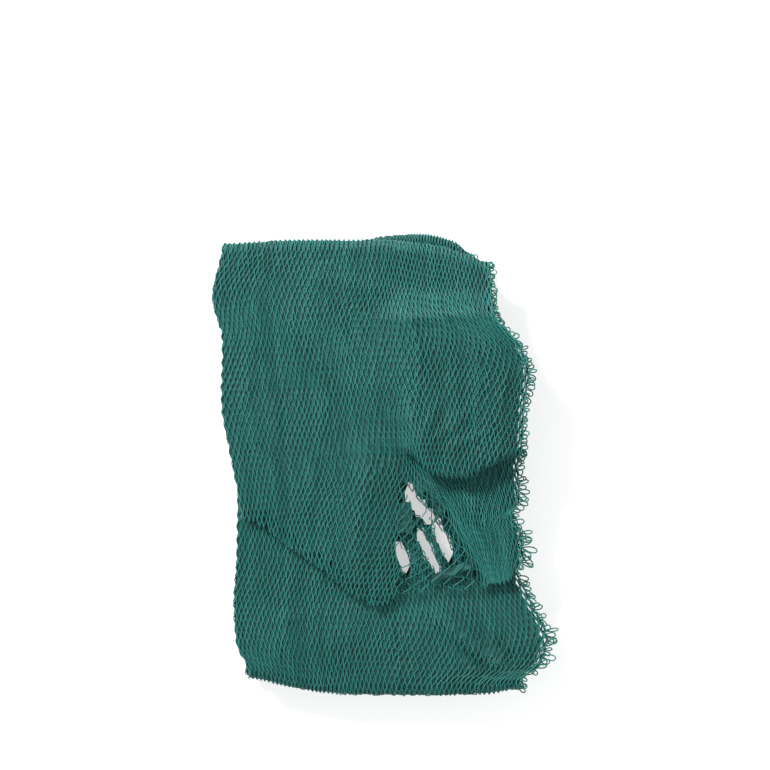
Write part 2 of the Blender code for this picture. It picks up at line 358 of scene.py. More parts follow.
def slit_frame(slit, x, y):
    """Share of a slit's length, signed distance to its side, half width there, and its direction."""
    x0, y0, x1, y1, width = slit
    length = np.hypot(x1 - x0, y1 - y0)
    ux, uy = (x1 - x0) / length, (y1 - y0) / length
    way = ((x - x0) * ux + (y - y0) * uy) / length
    side = (x - x0) * uy - (y - y0) * ux
    half = width / 2 * np.sin(np.pi * np.clip(way, 0, 1)) ** 0.7
    return way, side, half, (ux, uy)


def part_strands(x, y, wider=0.0):
    """Pushes points out of the slits."""
    for slit in SLITS:
        way, side, half, (ux, uy) = slit_frame(slit, x, y)
        half = np.where(half > 0.02, half + wider, 0)
        near = np.clip(1 - np.abs(side) / (SLIT_REACH + half), 0, 1)
        push = np.where(side >= 0, 1, -1) * half * near
        x, y = x + push * uy, y - push * ux
    return x, y


def pull_strands(point, under_rim, on_top):
    """The pinch and the slant of the top pass, then the slits of every pass."""
    x, y = point[..., 0], point[..., 1]
    pinch_x, pinch_y = PINCH
    reach_x, reach_y = PINCH_REACH
    gather = PINCH_PULL * np.exp(-((x - pinch_x) / reach_x) ** 2 - ((y - pinch_y) / reach_y) ** 2)
    x = x + np.where(on_top, (pinch_x - x) * gather, 0)
    lean = np.clip((x - SLANT_LEFT[0]) / SLANT_LEFT[1], 0, 1)
    lean = lean * np.clip((SLANT_RIGHT[0] - x) / SLANT_RIGHT[1], 0, 1)
    x = x + np.where(under_rim, SLANT * np.clip(pinch_y - y, 0, SLANT_DEPTH) * lean, 0)
    parted_top = part_strands(x, y)
    parted_deep = part_strands(x, y, DEEP_SLITS_WIDER)
    x = np.where(on_top, parted_top[0], parted_deep[0])
    y = np.where(on_top, parted_top[1], parted_deep[1])
    return np.stack([x, y, point[..., 2]], axis=-1)


# %% [markdown]
# ## Small relief
#
# Netting never lies as flat as paper. A noise texture would roughen it evenly, but cloth wrinkles in a
# few directions. So a few long waves, written as a sum of sines, lift the uncovered netting by about a
# millimetre at most, and a short table of creases gives the ones that catch the eye.

# %% Creases and ripples of what lies uncovered
# Creases of the top pass. Rows: x, y, direction, half length, half width, height.
CREASES = (
    (24, 22, 62, 20, 2.6, 0.9), (17, 30, 84, 26, 2.4, 0.8), (33, 18, 40, 18, 2.6, 0.8),
    (41, 12, 20, 14, 2.4, 0.6), (28, 74, 4, 22, 3.0, 1.3), (46, 60, -50, 12, 2.6, 0.8),
    (30, -24, -60, 24, 1.8, 0.9), (47, -22, -58, 26, 2.0, 0.9), (-62, 62, 82, 34, 3.5, 0.7),
    (-30, 12, 80, 36, 3.0, 0.6), (-20, 74, -66, 22, 3.0, 0.7), (-52, 8, 88, 26, 3.0, 0.6),
    (-14, -40, 78, 20, 2.6, 0.7), (60, 34, 76, 16, 2.2, 0.8), (-8, 88, -12, 26, 3.4, 0.6),
)
# Creases of the lower panel.
LOWER_CREASES = (
    (-50, -88, 78, 16, 3.0, 0.8), (-22, -92, 86, 18, 3.2, 0.8), (8, -90, 96, 18, 3.0, 0.8),
    (34, -84, -38, 22, 2.6, 1.2), (48, -96, -30, 16, 2.4, 0.9), (62, -92, -58, 14, 2.2, 0.9),
    (-36, -74, 12, 24, 3.0, 0.7),
)
PANEL_TOP = -74       # y where the lower panel comes out from under the top pass
PANEL_BLEND = 6
# Ripples. Rows: waves per metre in x and in y, phase, weight.
RIPPLES = (
    (52, 7, 0.3, 0.35), (31, -13, 1.9, 0.3), (78, 16, 4.4, 0.2), (17, 24, 2.7, 0.3),
    (110, -9, 5.2, 0.12),
)
RIPPLE_RISE = 0.45
PANEL_RIPPLE_SHIFT = 2.0
print(len(CREASES) + len(LOWER_CREASES), "creases,", len(RIPPLES), "ripples")


def ripple(x, y, shift=0.0):
    """A smooth field, about -1 to 1, whose waves are longer along Y than along X."""
    total = np.zeros_like(x)
    for per_x, per_y, phase, weight in RIPPLES:
        total += weight * np.sin(2 * np.pi * MM * (per_x * x + per_y * y) + phase + shift)
    return total


def lift_uncovered(point, number, under_rim):
    """Raises the netting that nothing covers: the top pass, and the end of the pass under it."""
    x, y = point[..., 0], point[..., 1]
    on_top = number == PASSES - 1
    lower_panel = (number == PASSES - 2) * step_up((PANEL_TOP - y) / PANEL_BLEND)
    rise = on_top * (ridges(CREASES, x, y) + RIPPLE_RISE * (1 + ripple(x, y)))
    panel_ripple = RIPPLE_RISE * (1 + ripple(x, y, PANEL_RIPPLE_SHIFT))
    rise += lower_panel * (ridges(LOWER_CREASES, x, y) + panel_ripple)
    point[..., 2] += rise
    return point


# %% [markdown]
# ## The cloth on the ribbon
#
# The ribbon is four plies of one cloth, folded like an accordion across its width. So a point of the flat
# cloth is found in two steps: its place across the cloth says which ply it is in and where, and its place
# along says how far down the ribbon it lies. The same function then places the sheet and every twine, so
# they always fit.

# %% From the flat cloth to the packet
PLIES = 4
PLY_WIDTH = 156.0                 # width of one ply when it lies at its usual width
PLY_GAP = 0.72                    # from one ply to the next, inside the ribbon
PLY_DEPTHS = (np.arange(PLIES) - (PLIES - 1) / 2) * PLY_GAP
SIDE_STEP = 0.004                 # share across, and
LENGTH_STEP = 0.3                 # distance along, over which the ribbon's slope is taken
CLOTH_WIDTH = PLIES * PLY_WIDTH
LEFT_INSET_SHARE = 0.2            # the left edge is a closed fold, so little of it is see-through


def pass_of(along):
    """Which pass a distance along the ribbon belongs to, its fold included."""
    return np.clip(np.searchsorted(PASS_STARTS, np.asarray(along, float), side="right") - 1, 0, PASSES - 1)


def cloth(crosswise, along, thin=1.0, inset=0.0):
    """Points of the cloth, millimetres, and their distance to the free end.

    thin presses the plies together, and inset draws in the long edges, the left one less.
    """
    ply = np.clip(np.floor(crosswise / PLY_WIDTH).astype(int), 0, PLIES - 1)
    local = np.clip(crosswise / PLY_WIDTH - ply, 0, 1)
    across = np.where(ply % 2 == 0, 1 - local, local)
    left_share, right_share = LEFT_INSET_SHARE * inset / PLY_WIDTH, inset / PLY_WIDTH
    across = left_share + (1 - left_share - right_share) * across
    depth = PLY_DEPTHS[ply]
    # Near a side fold the ply rounds towards the one that it is folded onto.
    half = PLY_GAP / 2
    for towards, beside in ((1, (1 - local) * PLY_WIDTH), (-1, local * PLY_WIDTH)):
        folded = (ply + towards >= 0) & (ply + towards < PLIES) & (beside < half)
        rounding = half - np.sqrt(half ** 2 - (half - beside.clip(0, half)) ** 2)
        depth = depth + np.where(folded, towards * rounding, 0)
    point, to_end, under_rim = ribbon(along, across)
    inwards = np.where(across > 0.5, -1, 1)
    beside_point = ribbon(along, across + inwards * SIDE_STEP)[0]
    ahead = ribbon(along + LENGTH_STEP, across)[0] - ribbon(along - LENGTH_STEP, across)[0]
    aside = (beside_point - point) * inwards[..., None]
    normal = np.cross(aside, ahead)
    normal /= np.linalg.norm(normal, axis=-1, keepdims=True) + 1e-12
    point = point + normal * (depth * thin)[..., None]
    number = pass_of(along)
    point = pull_strands(point, under_rim, number == PASSES - 1)
    return lift_uncovered(point, number, under_rim), to_end


probe = np.array([[0.0, 80.0, 156.0, 400.0]]) + np.zeros((3, 1))
print("cloth points", cloth(probe, np.array([[5.0], [500.0], [1200.0]]))[0].round(1).tolist())

# %% [markdown]
# ## Where the packet lies
#
# The tables put the packet about where it belongs. The frame says exactly where, so one shift brings the
# cloth's middle over the frame's middle.

# %% The shift from the tables' origin to the frame's
rows, columns = np.meshgrid(np.arange(0, RIBBON_LENGTH, 2.0), np.linspace(0, 1, 80), indexing="ij")
middle, to_end, _ = ribbon(rows, columns)
middle = middle[to_end > 0]
middle_low, middle_high = middle.min(axis=0), middle.max(axis=0)
SHIFT = (packet_low[:2] + packet_high[:2]) / 2 - (middle_low + middle_high)[:2] / 2
print("shift, mm:", SHIFT.round(3), "ribbon's middle spans", (middle_high - middle_low).round(1))


def to_frame(points):
    """Table millimetres to the frame's metres."""
    moved = points.copy()
    moved[..., :2] += SHIFT
    return moved * MM


# %% [markdown]
# ## Finishes
#
# The net is dyed green twine with a soft sheen. Every twine could have a material of its own, but then a
# change would have to be made in each. Instead one node group makes the twine's colour and its twisted
# relief, from a UV map that runs along and round each twine, and every twine material uses it with its
# own values.

# %% A small kit for node trees
def link_value(tree, value, socket):
    """Links an output socket, or sets a plain value."""
    if isinstance(value, bpy.types.NodeSocket):
        tree.links.new(value, socket)
    else:
        socket.default_value = value


def math_node(tree, operation, first, second=0.0):
    node = tree.nodes.new("ShaderNodeMath")
    node.operation = operation
    link_value(tree, first, node.inputs[0])
    link_value(tree, second, node.inputs[1])
    return node.outputs[0]


def mix_colour(tree, factor, first, second):
    node = tree.nodes.new("ShaderNodeMix")
    node.data_type = "RGBA"
    link_value(tree, factor, node.inputs["Factor"])
    link_value(tree, first, node.inputs[6])
    link_value(tree, second, node.inputs[7])
    return node.outputs[2]


def noise(tree, vector, scale, detail=2.0):
    node = tree.nodes.new("ShaderNodeTexNoise")
    tree.links.new(vector, node.inputs["Vector"])
    node.inputs["Scale"].default_value = scale
    node.inputs["Detail"].default_value = detail
    return node.outputs["Fac"]


# %% The twine group: colour, roughness and twist
BROAD_PATCHES = 38.0      # noise scales, on coordinates in metres
FINE_FIBRES = 900.0
TWIST_SLANT = 3.0         # turns of the strands' pattern round the twine
TWIST_RELIEF = 0.00008


def twine_group():
    group = bpy.data.node_groups.new("twisted_twine", "ShaderNodeTree")
    for name, kind in (("Deep colour", "Color"), ("Light colour", "Color"), ("Twist length", "Float"),
                       ("Relief", "Float")):
        group.interface.new_socket(name, in_out="INPUT", socket_type=f"NodeSocket{kind}")
    for name, kind in (("Color", "Color"), ("Roughness", "Float"), ("Normal", "Vector")):
        group.interface.new_socket(name, in_out="OUTPUT", socket_type=f"NodeSocket{kind}")
    into, out = group.nodes.new("NodeGroupInput"), group.nodes.new("NodeGroupOutput")
    uv = group.nodes.new("ShaderNodeUVMap")
    uv.uv_map = "twine"
    parts = group.nodes.new("ShaderNodeSeparateXYZ")
    group.links.new(uv.outputs[0], parts.inputs[0])
    turns = math_node(group, "DIVIDE", parts.outputs[0], into.outputs["Twist length"])
    phase = math_node(group, "ADD", turns, math_node(group, "MULTIPLY", parts.outputs[1], TWIST_SLANT))
    twist = math_node(group, "SINE", math_node(group, "MULTIPLY", phase, 2 * np.pi))
    place = group.nodes.new("ShaderNodeTexCoord")
    tone = group.nodes.new("ShaderNodeAttribute")
    tone.attribute_name = "tone"
    broad = noise(group, place.outputs["Object"], BROAD_PATCHES, 3.0)
    fine = noise(group, place.outputs["Object"], FINE_FIBRES, 2.0)
    light = math_node(group, "ADD", math_node(group, "MULTIPLY", broad, 0.5), tone.outputs["Fac"])
    light = math_node(group, "ADD", light, math_node(group, "MULTIPLY", fine, 0.3))
    # The twist's sine also lightens the colour on the strands' crests and darkens it in the grooves between
    # them: painted shade of the twist, beside the bump's real relief.
    light = math_node(group, "ADD", light, math_node(group, "MULTIPLY", twist, 0.08))
    light = math_node(group, "SUBTRACT", light, 0.15)
    clamp = group.nodes.new("ShaderNodeClamp")
    group.links.new(light, clamp.inputs[0])
    colour = mix_colour(group, clamp.outputs[0], into.outputs["Deep colour"], into.outputs["Light colour"])
    rough = math_node(group, "ADD", 0.42, math_node(group, "MULTIPLY", fine, 0.22))
    bump = group.nodes.new("ShaderNodeBump")
    bump.inputs["Distance"].default_value = TWIST_RELIEF
    group.links.new(into.outputs["Relief"], bump.inputs["Strength"])
    group.links.new(twist, bump.inputs["Height"])
    group.links.new(colour, out.inputs["Color"])
    group.links.new(rough, out.inputs["Roughness"])
    group.links.new(bump.outputs["Normal"], out.inputs["Normal"])
    return group


TWISTED_TWINE = twine_group()


def twine_material(name, deep, light, twist_length, relief):
    material = bpy.data.materials.new(name)
    material.use_nodes = True
    tree = material.node_tree
    shader = tree.nodes["Principled BSDF"]
    group = tree.nodes.new("ShaderNodeGroup")
    group.node_tree = TWISTED_TWINE
    group.inputs["Deep colour"].default_value = (*deep, 1)
    group.inputs["Light colour"].default_value = (*light, 1)
    group.inputs["Twist length"].default_value = twist_length
    group.inputs["Relief"].default_value = relief
    tree.links.new(group.outputs["Color"], shader.inputs["Base Color"])
    tree.links.new(group.outputs["Roughness"], shader.inputs["Roughness"])
    tree.links.new(group.outputs["Normal"], shader.inputs["Normal"])
    shader.inputs["Specular IOR Level"].default_value = 0.45
    return material


# Name, deep and light colour, length of one twist, strength of its relief.
TOP_TWINE = twine_material(
    "green_twine", (0.014, 0.158, 0.137), (0.054, 0.350, 0.316), 0.0016, 0.5)
# The twine in shade is the same twine drawn darker: painted shade for the plies that lie under others.
SHADED_TWINE = twine_material(
    "green_twine_in_shade", (0.010, 0.112, 0.097), (0.034, 0.250, 0.218), 0.0016, 0.4)
EDGE_TWINE = twine_material(
    "green_selvedge_twine", (0.018, 0.175, 0.142), (0.062, 0.360, 0.300), 0.0024, 0.7)
print("twines:", TOP_TWINE.name, SHADED_TWINE.name, EDGE_TWINE.name)

# %% [markdown]
# ## The inner cloth
#
# One continuous sheet carries all four plies along the whole ribbon. A cloth simulation could fold it, but
# it would lose the straight folds of a pressed packet, so the sheet follows the ribbon's own formulas. Its
# right edge is drawn in a few millimetres, so that past it only twines are left and light comes through the
# meshes, as it does on the real net. Its left edge is a closed fold, and is drawn in only a little. The
# twines lie just outside it. The sheet is a plain grid built row by row, closer at the folds, with faces
# left out where a slit passes.

# %% Grid of the inner cloth
SHEET_THIN = 0.42     # share of the plies' real depth, so the sheet stays between the twines
SHEET_INSET = 3.2
SHEET_STEP = 4.2      # from row to row on the passes
FOLD_ROWS = 7         # rows round a fold
RIM_WALK = (92, 130, 0.8)         # start, stop and step of the rows over the Z
SHEET_COLUMNS = 30    # columns in each ply
SIDE_FOLD_COLUMNS = (-0.36, -0.15, 0.0, 0.15, 0.36)
SLITS_PLACE = (22, -32)           # middle of the slits, and
SLITS_REACH = (26, 34)            # how far to either side of it they and their bunched strands lie


def sheet_rows():
    """Distances along the ribbon: even on the passes, closer round the folds and the Z."""
    rows = []
    for number in range(PASSES):
        start = PASS_STARTS[number]
        length = PASS_LENGTHS[number] if number < PASSES - 1 else TOP_LENGTH
        rows.append(np.linspace(start, start + length, int(length / SHEET_STEP), endpoint=False))
        fold = np.linspace(0, TURN_LENGTH, FOLD_ROWS)[:-1]
        rows.append(start + length + fold * (number < PASSES - 1))
    rim = PASS_STARTS[-1] + np.arange(*RIM_WALK)
    rows = np.unique(np.round(np.concatenate(rows + [rim]), 3))
    return rows[(rows > SHEET_INSET) & (rows < RIBBON_LENGTH)]


def sheet_columns():
    """Distances across the cloth, with the side folds rounded by closer columns."""
    ply = np.linspace(0, PLY_WIDTH, SHEET_COLUMNS)[1:-1]
    columns = [ply + number * PLY_WIDTH for number in range(PLIES)]
    for number in range(PLIES + 1):
        columns.append(number * PLY_WIDTH + np.array(SIDE_FOLD_COLUMNS))
    columns = np.unique(np.round(np.concatenate(columns), 3))
    return columns[(columns >= 0) & (columns <= CLOTH_WIDTH)]


def crosses_slit(x0, y0, x1, y1):
    """Whether the line between two points of the packet crosses a slit."""
    crossed = np.zeros(x0.shape, bool)
    for slit in SLITS:
        way0, side0, _, _ = slit_frame(slit, x0, y0)
        way1, side1, _, _ = slit_frame(slit, x1, y1)
        way = (way0 + way1) / 2
        within = (way > SLIT_ENDS[0]) & (way < SLIT_ENDS[1])
        crossed |= (np.sign(side0) != np.sign(side1)) & within
    return crossed


def build_sheet():
    along, crosswise = np.meshgrid(sheet_rows(), sheet_columns(), indexing="ij")
    points, to_end = cloth(crosswise, along, SHEET_THIN, SHEET_INSET)
    count_rows, count_columns = along.shape
    number = np.arange(along.size).reshape(along.shape)
    corners = np.stack([number[:-1, :-1], number[:-1, 1:], number[1:, 1:], number[1:, :-1]], axis=-1)
    x, y = points[..., 0], points[..., 1]
    near_slits = abs(x - SLITS_PLACE[0]) < SLITS_REACH[0]
    near_slits &= abs(y - SLITS_PLACE[1]) < SLITS_REACH[1]
    torn = crosses_slit(x[:-1, :-1], y[:-1, :-1], x[:-1, 1:], y[:-1, 1:])
    torn |= crosses_slit(x[:-1, :-1], y[:-1, :-1], x[1:, 1:], y[1:, 1:])
    torn |= crosses_slit(x[1:, :-1], y[1:, :-1], x[1:, 1:], y[1:, 1:])
    torn |= crosses_slit(x[:-1, :-1], y[:-1, :-1], x[1:, :-1], y[1:, :-1])
    torn &= near_slits[:-1, :-1]
    ended = (to_end < SHEET_INSET)[1:, 1:] | (to_end < SHEET_INSET)[1:, :-1]
    faces = corners[~torn & ~ended]
    used, faces = np.unique(faces, return_inverse=True)
    faces = faces.reshape(-1, 4)
    mesh = bpy.data.meshes.new("net_inner_cloth")
    mesh.from_pydata(to_frame(points).reshape(-1, 3)[used].tolist(), [], faces.tolist())
    uv = mesh.uv_layers.new(name="cloth")
    flat = np.stack([crosswise.ravel()[used], along.ravel()[used]], axis=-1) * MM
    uv.data.foreach_set("uv", flat[faces.ravel()].ravel())
    mesh.shade_smooth()
    piece = bpy.data.objects.new("net_inner_cloth", mesh)
    bpy.context.scene.collection.objects.link(piece)
    print("inner cloth:", len(faces), "faces,", count_rows, "rows,", count_columns, "columns")
    return piece


inner_cloth = build_sheet()

# %% [markdown]
# ## The inner cloth's finish, in painted shade
#
# The inner cloth is only seen through the meshes above it, where deeper netting lies in shade. Its colour is
# painted shade: a very dark green ground for the shaded gaps, with paler slanting bars for the twines, drawn
# darker than the twines on top. Real twines down there would cost a great many triangles and hardly show, so
# the material draws them. Two sets of slanting lines, taken from the cloth's own UV in real metres, cross
# into the same diamonds as the twines make.

# %% Meshes drawn on the inner cloth
TWINE = 0.56          # thickness of the twine
EYE_WIDE = 2.5        # width of one mesh, as it lies
EYE_TALL = 6.6        # height of one mesh, as it lies
WOBBLE = (90.0, 0.9)              # noise scale and size of the bars' wander, in meshes
BAR_EDGE = 3.2                    # how fast a bar fades to its ground
PATCHES = (260.0, 0.35)           # noise scale and least share of the paler bars
MESH_RELIEF = 0.0004


def inner_material():
    material = bpy.data.materials.new("green_deep_netting_painted_shade")
    material.use_nodes = True
    tree = material.node_tree
    shader = tree.nodes["Principled BSDF"]
    uv = tree.nodes.new("ShaderNodeUVMap")
    uv.uv_map = "cloth"
    place = tree.nodes.new("ShaderNodeTexCoord")
    parts = tree.nodes.new("ShaderNodeSeparateXYZ")
    tree.links.new(uv.outputs[0], parts.inputs[0])
    wobble = math_node(tree, "MULTIPLY", noise(tree, place.outputs["Object"], WOBBLE[0], 2.0), WOBBLE[1])
    across = math_node(tree, "DIVIDE", parts.outputs[0], EYE_WIDE * MM)
    across = math_node(tree, "ADD", across, wobble)
    along = math_node(tree, "DIVIDE", parts.outputs[1], EYE_TALL * MM)
    bars = []
    for slope in (math_node(tree, "ADD", across, along), math_node(tree, "SUBTRACT", across, along)):
        centred = math_node(tree, "SUBTRACT", math_node(tree, "FRACT", slope), 0.5)
        place_in_bar = math_node(tree, "ABSOLUTE", centred)
        fade = math_node(tree, "MULTIPLY", place_in_bar, BAR_EDGE)
        bars.append(math_node(tree, "SUBTRACT", 1.0, fade))
    bar = math_node(tree, "MAXIMUM", bars[0], bars[1])
    clamp = tree.nodes.new("ShaderNodeClamp")
    tree.links.new(bar, clamp.inputs[0])
    patchy = noise(tree, place.outputs["Object"], PATCHES[0], 3.0)
    paler = math_node(tree, "ADD", PATCHES[1], patchy)
    factor = math_node(tree, "MULTIPLY", clamp.outputs[0], paler)
    # Painted shade: the ground is the dark of the shaded gaps between deeper twines, and the bars are twines
    # drawn darker than those on top, as if in shade.
    colour = mix_colour(tree, factor, (0.006, 0.060, 0.052, 1), (0.024, 0.185, 0.165, 1))
    tree.links.new(colour, shader.inputs["Base Color"])
    bump = tree.nodes.new("ShaderNodeBump")
    bump.inputs["Distance"].default_value = MESH_RELIEF
    bump.inputs["Strength"].default_value = 0.8
    tree.links.new(clamp.outputs[0], bump.inputs["Height"])
    tree.links.new(bump.outputs["Normal"], shader.inputs["Normal"])
    rough = math_node(tree, "ADD", 0.6, math_node(tree, "MULTIPLY", patchy, 0.2))
    tree.links.new(rough, shader.inputs["Roughness"])
    return material


inner_cloth.data.materials.append(inner_material())
print("inner cloth's finish:", inner_cloth.data.materials[0].name)

# %% [markdown]
# ## The twines
#
# Knotless netting has no knots: neighbouring twines lie side by side for a moment and part again, so every
# twine runs in a zigzag. Holes painted on a sheet would look flat at the edges and in the slits, so the
# twines are real. Each zigzag is a chain of edges on the cloth, and a Geometry Nodes tree turns the chains
# into round twines. A random tone for each twine and a little unevenness in each mesh keep it from looking
# printed.

# %% Which twines are made, and in which piece
STRAND_PITCH = EYE_WIDE / 2
ROW_PITCH = EYE_TALL / 2
STRANDS_IN_PLY = int(PLY_WIDTH / STRAND_PITCH)
STRANDS = PLIES * STRANDS_IN_PLY
ROWS = int(RIBBON_LENGTH / ROW_PITCH)
strand_ply = np.arange(STRANDS) // STRANDS_IN_PLY
strand_across = (np.arange(STRANDS) + 0.5) * CLOTH_WIDTH / STRANDS
row_along = (np.arange(ROWS) + 0.5) * ROW_PITCH
print(STRANDS, "twines,", ROWS, "rows of meshes")

EDGE_MARGIN = 12.0    # twines this near the ribbon's long edges are made on every pass
FOLD_MARGIN = 16.0    # and this near a fold
PANEL_LENGTH = 84     # how much of the pass under the top one is made, from its fold
across_ply = strand_across % PLY_WIDTH
side_distance = np.minimum(across_ply, PLY_WIDTH - across_ply)
share_across = np.where(strand_ply % 2 == 0, 1 - across_ply / PLY_WIDTH, across_ply / PLY_WIDTH)
NO_PIECE = ""
piece_of = np.full((ROWS, STRANDS), NO_PIECE, dtype=object)


def claim(rows, strands, name):
    """Gives a block of the net to a piece, where no other has it yet."""
    block = rows[:, None] & strands[None, :]
    piece_of[block & (piece_of == NO_PIECE)] = name


top_rows = row_along > PASS_STARTS[-1] - TURN_LENGTH - FOLD_MARGIN
claim(top_rows, strand_ply == 0, "net_top_ply")
claim(row_along > PASS_STARTS[-1] - TURN_LENGTH, strand_ply == 1, "net_second_ply")
panel_start = PASS_STARTS[PASSES - 2]
panel_rows = row_along > panel_start - TURN_LENGTH - FOLD_MARGIN
panel_rows &= row_along < panel_start + PANEL_LENGTH
claim(panel_rows, strand_ply == 3, "net_lower_panel")
claim(panel_rows, strand_ply == 2, "net_lower_second_ply")
for number in range(PASSES - 1):
    fold_at = PASS_STARTS[number + 1] - TURN_LENGTH / 2
    near_fold = np.abs(row_along - fold_at) < FOLD_MARGIN + TURN_LENGTH / 2
    outer, next_in = (0, 1) if number % 2 == 0 else (3, 2)
    claim(near_fold, strand_ply == outer, "net_fold_turns")
    claim(near_fold, strand_ply == next_in, "net_fold_second_ply")
claim(row_along < FOLD_MARGIN, strand_ply >= 0, "net_first_end")
near_side = side_distance < EDGE_MARGIN
claim(row_along > 0, near_side & (share_across < 0.5), "net_left_edge")
claim(row_along > 0, near_side & (share_across > 0.5), "net_right_edge")
names, counts = np.unique(piece_of.astype(str), return_counts=True)
print(dict(zip(names, counts)))

# %% [markdown]
# Slow waves bend the columns of meshes and open some meshes more than others. Each meeting point of two
# twines gets a small nudge that both twines share, so they still meet.

# %% Points of the zigzags
CHANCE = np.random.default_rng(4107)
NUDGE_ACROSS = 0.16   # spread of a meeting point's nudge, millimetres
NUDGE_ALONG = 0.30
TONE_SPREAD = 0.22
nudge_across = CHANCE.normal(0, NUDGE_ACROSS, (ROWS + 1, STRANDS + 2))
nudge_along = CHANCE.normal(0, NUDGE_ALONG, (ROWS + 1, STRANDS + 2))
strand_tone = CHANCE.uniform(-TONE_SPREAD, TONE_SPREAD, STRANDS)
JOINT_HALF = 0.55     # half the length over which two twines lie together
KEPT_CROSSING = 0.10  # share of twines that still cross a slit, on the top ply
TOUCHING = 0.30       # share of a twine's thickness by which neighbours press together
OPENING = 0.12        # how much more or less some meshes open
SELVEDGE_WIDTH = 2.6  # the twines this near the net's own edge are thicker
SELVEDGE_GIRTH = 1.5
END_OVERHANG = 0.5    # how far twines may pass the free end
RIBBON_STOP = 2
print("nudges, mm:", np.abs(nudge_across).mean().round(2), np.abs(nudge_along).mean().round(2))


def drift(crosswise, along):
    """Slow waves of the columns and rows of meshes, none at the plies' edges."""
    local = crosswise / PLY_WIDTH % 1
    window = np.sqrt(np.clip(np.sin(np.pi * local), 0, 1))
    sway = 1.5 * np.sin(along / 17.0 + crosswise / 31.0) + 0.9 * np.sin(along / 7.3 - crosswise / 19.0 + 2.0)
    climb = 1.6 * np.sin(crosswise / 23.0 + along / 41.0) + 0.8 * np.sin(crosswise / 9.1 - along / 27.0)
    return window * sway, climb


def zigzag(first_row, last_row, strands):
    """Places of some twines on the flat cloth, two for each row, shaped (twines, rows, 2)."""
    rows = np.arange(first_row, last_row)
    side = np.where((rows[None, :] + strands[:, None]) % 2 == 0, 1.0, -1.0)
    joint = strands[:, None] + np.where(side > 0, 1, 0)
    swing = STRAND_PITCH / 2 - TOUCHING * TWINE
    opened = 1 + OPENING * np.sin(rows[None, :] / 5.0 + strands[:, None] / 9.0)
    across = strand_across[strands][:, None] + side * swing * opened
    across = across + nudge_across[rows[None, :], joint]
    along = row_along[rows][None, :] + nudge_along[rows[None, :], joint]
    sway, climb = drift(across, along)
    across, along = across + sway, along + climb
    across = np.repeat(across[:, :, None], 2, axis=2)
    along = along[:, :, None] + np.array([-JOINT_HALF, JOINT_HALF])
    return np.clip(across, 0.02, CLOTH_WIDTH - 0.02), along


def chains(name, two_points):
    """Points and edges of one piece's twines."""
    mine = piece_of == name
    strands = np.flatnonzero(mine.any(axis=0))
    rows = np.flatnonzero(mine.any(axis=1))
    first, last = rows[0], rows[-1] + 1
    across, along = zigzag(first, last, strands)
    if not two_points:
        across, along = across[:, :, :1], along.mean(axis=2, keepdims=True)
    points, to_end = cloth(across, along)
    shape = points.shape[:3]
    kept = mine[first:last][:, strands].T[:, :, None]
    kept = kept & (to_end > -END_OVERHANG) & (along < RIBBON_LENGTH - RIBBON_STOP)
    flat_points = points.reshape(shape[0], -1, 3)
    kept = kept.reshape(shape[0], -1)
    joined = kept[:, :-1] & kept[:, 1:]
    x, y = flat_points[..., 0], flat_points[..., 1]
    crossing = crosses_slit(x[:, :-1], y[:, :-1], x[:, 1:], y[:, 1:])
    spared = (CHANCE.uniform(size=crossing.shape) < KEPT_CROSSING) & (name == "net_top_ply")
    joined &= ~crossing | spared
    number = np.arange(kept.size).reshape(kept.shape)
    edges = np.stack([number[:, :-1][joined], number[:, 1:][joined]], axis=-1)
    used, edges = np.unique(edges, return_inverse=True)
    edges = edges.reshape(-1, 2)
    tone = np.repeat(strand_tone[strands][:, None], kept.shape[1], axis=1).ravel()[used]
    selvedge = np.minimum(strand_across, CLOTH_WIDTH - strand_across)[strands]
    girth = np.where(selvedge < SELVEDGE_WIDTH, SELVEDGE_GIRTH, 1.0)
    girth = np.repeat(girth[:, None], kept.shape[1], axis=1).ravel()[used]
    return to_frame(flat_points).reshape(-1, 3)[used], edges, tone, girth


# %% The tree that turns chains of edges into twines
def twines_tree():
    tree = bpy.data.node_groups.new("twines_from_chains", "GeometryNodeTree")
    sockets = {}
    for name, kind in (("Chains", "Geometry"), ("Twine thickness", "Float"), ("Sides", "Int"),
                       ("Material", "Material")):
        sockets[name] = tree.interface.new_socket(name, in_out="INPUT", socket_type=f"NodeSocket{kind}")
    tree.interface.new_socket("Twines", in_out="OUTPUT", socket_type="NodeSocketGeometry")
    nodes, link = tree.nodes, tree.links.new
    into, out = nodes.new("NodeGroupInput"), nodes.new("NodeGroupOutput")
    to_curve = nodes.new("GeometryNodeMeshToCurve")
    link(into.outputs["Chains"], to_curve.inputs["Mesh"])
    finish_twines(tree, to_curve.outputs["Curve"], into, out)
    return tree, {name: socket.identifier for name, socket in sockets.items()}


